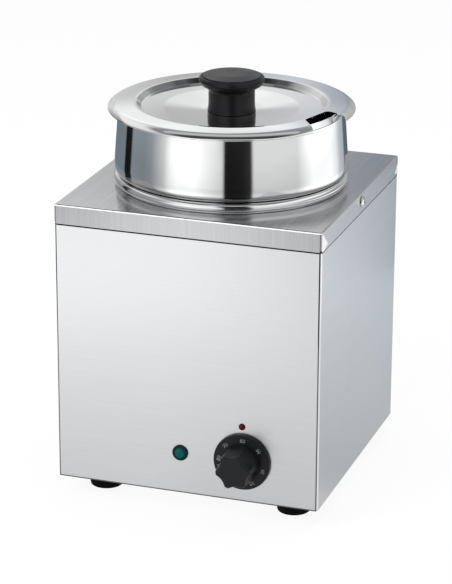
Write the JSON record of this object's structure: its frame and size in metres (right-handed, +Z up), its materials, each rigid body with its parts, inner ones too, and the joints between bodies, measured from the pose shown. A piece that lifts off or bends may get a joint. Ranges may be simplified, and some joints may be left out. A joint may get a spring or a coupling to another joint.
{
  "type": "bain marie pot",
  "caption": "Square countertop wet-well bain marie with a round lift-out pot, a lid with a ladle notch, a thermostat dial and pilot lamps.",
  "frame": {"origin": "under the middle of the casing, on the surface that the feet stand on", "axes": "+Z up, front with the dial towards -Y, +X to the right of someone who faces the dial"},
  "size_m": [0.2554, 0.3071, 0.3811],
  "materials": {
    "brushed_steel": "fine straight brushing, satin",
    "polished_steel": "mirror polished stainless steel",
    "zinc_steel": "bright zinc plate",
    "element_steel": "heat-darkened sheath",
    "black_phenolic": "satin black moulding",
    "black_rubber": "matt black rubber",
    "green_lens": "glossy tinted lens",
    "red_lens": "glossy tinted lens",
    "white_moulding": "heat-resistant moulding",
    "copper": "drawn copper",
    "brass": "turned brass",
    "mineral_wool": "loose fibre mat"
  },
  "bodies": {
    "case": {"case_wrap": "brushed_steel", "rear_panel": "brushed_steel", "base_plate": "brushed_steel", "deck": "brushed_steel", "well": "polished_steel", "deck_screw_left": "polished_steel", "deck_screw_right": "polished_steel", "deck_nut_left": "zinc_steel", "deck_nut_right": "zinc_steel", "panel_screw_lower_left": "zinc_steel", "panel_screw_lower_right": "zinc_steel", "panel_screw_upper_left": "zinc_steel", "panel_screw_upper_right": "zinc_steel", "foot_front_left": "black_rubber", "foot_front_right": "black_rubber", "foot_rear_left": "black_rubber", "foot_rear_right": "black_rubber", "foot_screw_front_left": "zinc_steel", "foot_screw_front_right": "zinc_steel", "foot_screw_rear_left": "zinc_steel", "foot_screw_rear_right": "zinc_steel", "foot_nut_front_left": "zinc_steel", "foot_nut_front_right": "zinc_steel", "foot_nut_rear_left": "zinc_steel", "foot_nut_rear_right": "zinc_steel", "heating_element": "element_steel", "element_clamp": "zinc_steel", "clamp_stud": "zinc_steel", "clamp_nut": "zinc_steel", "overheat_cutout": "black_phenolic", "sensor_bulb": "copper", "bulb_clip": "zinc_steel", "capillary_tube": "copper", "well_insulation": "mineral_wool", "thermostat_body": "white_moulding", "thermostat_screw_left": "zinc_steel", "thermostat_screw_right": "zinc_steel", "green_lamp_lens": "green_lens", "green_lamp_holder": "white_moulding", "green_lamp_clip": "zinc_steel", "red_lamp_lens": "red_lens", "red_lamp_holder": "white_moulding", "red_lamp_clip": "zinc_steel", "terminal_block": "white_moulding", "earth_stud": "brass", "earth_nut": "brass", "gland_body": "black_phenolic", "gland_cap": "black_phenolic", "gland_seal": "black_rubber", "gland_locknut": "black_phenolic"},
    "pot": {"pot": "polished_steel"},
    "lid": {"lid": "polished_steel", "lid_knob": "black_phenolic", "knob_washer": "zinc_steel", "knob_screw": "zinc_steel"},
    "dial": {"dial": "black_phenolic", "thermostat_shaft": "zinc_steel"}
  },
  "joints": [
    {"name": "pot_lift", "type": "slide", "parent": "case", "child": "pot", "axis": [0, 0, 1], "range_m": [0, 0.18]},
    {"name": "lid_lift", "type": "slide", "parent": "pot", "child": "lid", "axis": [0, 0, 1], "range_m": [0, 0.08]},
    {"name": "dial_turn", "type": "hinge", "parent": "case", "child": "dial", "pos_m": [0.054, -0.1247, 0.0572], "axis": [0, -1, 0], "range_deg": [-103, 150]}
  ]
}
